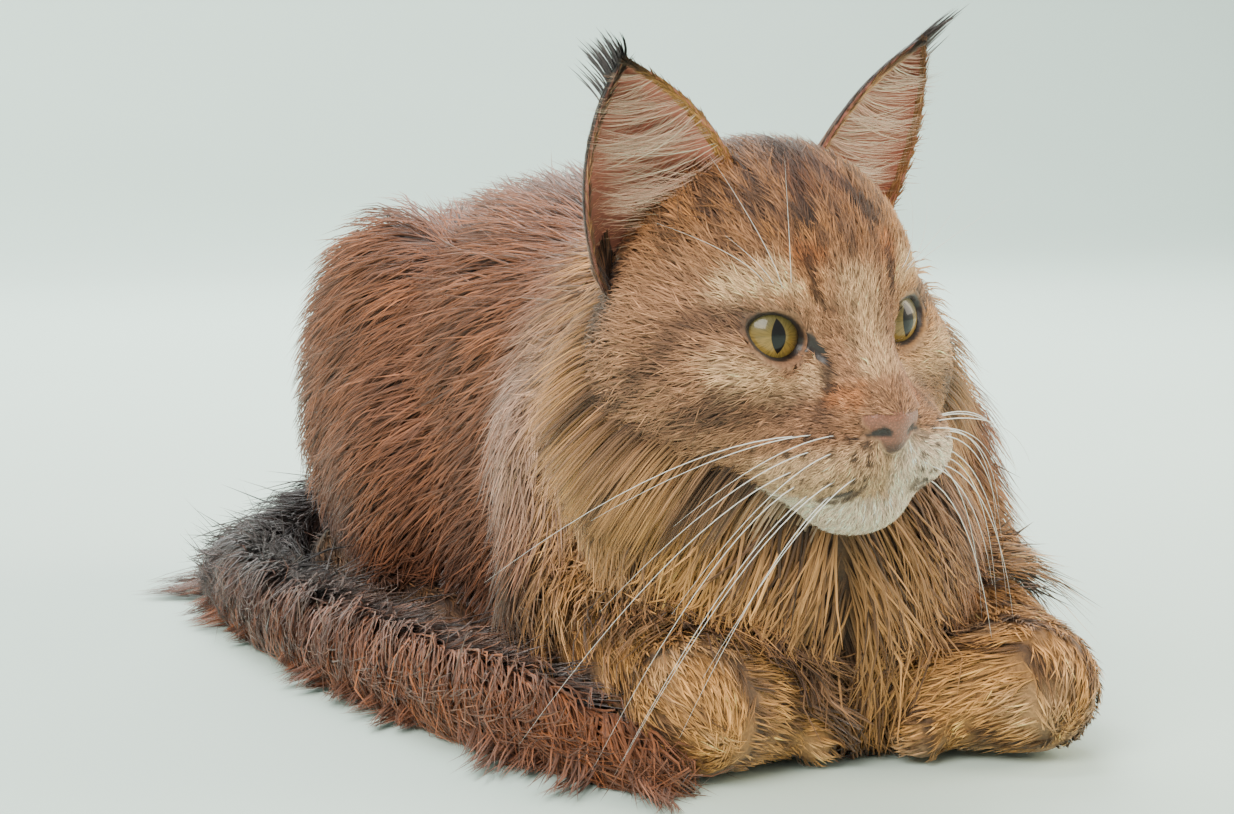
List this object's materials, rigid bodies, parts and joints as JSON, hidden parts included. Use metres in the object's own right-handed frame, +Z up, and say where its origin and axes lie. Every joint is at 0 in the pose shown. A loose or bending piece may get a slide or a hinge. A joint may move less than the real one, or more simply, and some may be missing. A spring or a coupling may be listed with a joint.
{
  "type": "maine coon cat model",
  "caption": "Life-size still model of a long-haired tabby cat lying with folded forepaws, head turned and bushy tail laid round its side.",
  "frame": {"origin": "on the floor under the middle of the belly", "axes": "+Z up, -Y towards the front of the cat, +X towards its left side"},
  "size_m": [0.25, 0.4773, 0.2414],
  "materials": {
    "head_fur": "short ticked fur",
    "ruff_fur": "long soft fur",
    "flank_fur": "long soft fur",
    "foreleg_fur": "short barred fur",
    "haunch_fur": "long soft fur",
    "tail_fur": "long loose fur",
    "ear_skin": "thin skin with fine hair",
    "eye": "polished"
  },
  "bodies": {
    "root": {"head": "head_fur", "neck": "ruff_fur", "torso": "flank_fur", "foreleg_left": "foreleg_fur", "foreleg_right": "foreleg_fur", "hindleg_left": "haunch_fur", "hindleg_right": "haunch_fur", "tail_base": "tail_fur", "tail_middle": "tail_fur", "tail_tip": "tail_fur", "ear_left": "ear_skin", "ear_right": "ear_skin", "eye_left": "eye", "eye_right": "eye"}
  },
  "joints": []
}
